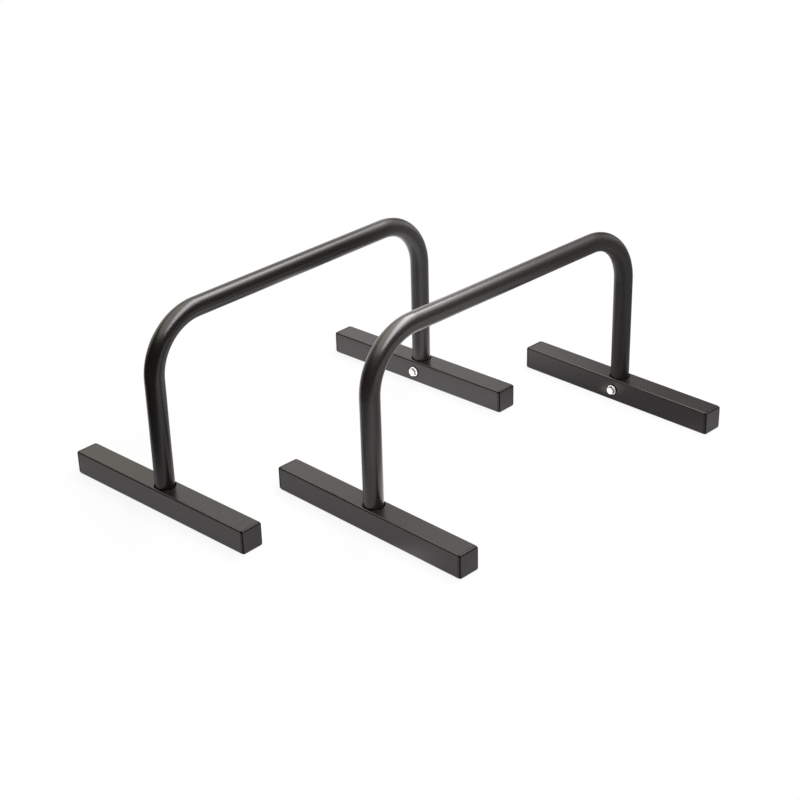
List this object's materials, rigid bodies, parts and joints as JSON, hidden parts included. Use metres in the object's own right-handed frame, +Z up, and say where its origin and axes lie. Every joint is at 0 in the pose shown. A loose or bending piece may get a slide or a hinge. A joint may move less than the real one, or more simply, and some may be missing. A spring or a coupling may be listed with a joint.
{
  "type": "parallette bars",
  "caption": "Parallette bars: bent round-tube handrails that stand in square-tube feet, held by hex bolts, with plastic end caps, for push-ups and hand balancing on the floor.",
  "frame": {"origin": "on the floor, midway between the two bars", "axes": "+X along the rails from the front feet to the rear feet, +Y from the right bar to the left bar, +Z up"},
  "size_m": [0.819, 0.7072, 0.328],
  "materials": {
    "powder_coat": "satin black powder coat on steel tube",
    "cap_plastic": "moulded black polyethylene",
    "zinc_plate": "bright zinc plate on steel"
  },
  "bodies": {
    "left_bar": {"left_handrail": "powder_coat", "left_front_foot": "powder_coat", "left_front_cap_outer": "cap_plastic", "left_front_cap_inner": "cap_plastic", "left_front_bolt": "zinc_plate", "left_front_washer": "zinc_plate", "left_front_nut": "zinc_plate", "left_rear_foot": "powder_coat", "left_rear_cap_outer": "cap_plastic", "left_rear_cap_inner": "cap_plastic", "left_rear_bolt": "zinc_plate", "left_rear_washer": "zinc_plate", "left_rear_nut": "zinc_plate"},
    "right_bar": {"right_handrail": "powder_coat", "right_front_foot": "powder_coat", "right_front_cap_outer": "cap_plastic", "right_front_cap_inner": "cap_plastic", "right_front_bolt": "zinc_plate", "right_front_washer": "zinc_plate", "right_front_nut": "zinc_plate", "right_rear_foot": "powder_coat", "right_rear_cap_outer": "cap_plastic", "right_rear_cap_inner": "cap_plastic", "right_rear_bolt": "zinc_plate", "right_rear_washer": "zinc_plate", "right_rear_nut": "zinc_plate"}
  },
  "joints": [
    {"name": "bar_spacing", "type": "slide", "parent": "left_bar", "child": "right_bar", "axis": [0, -1, 0], "range_m": [-0.24, 0.3]}
  ]
}
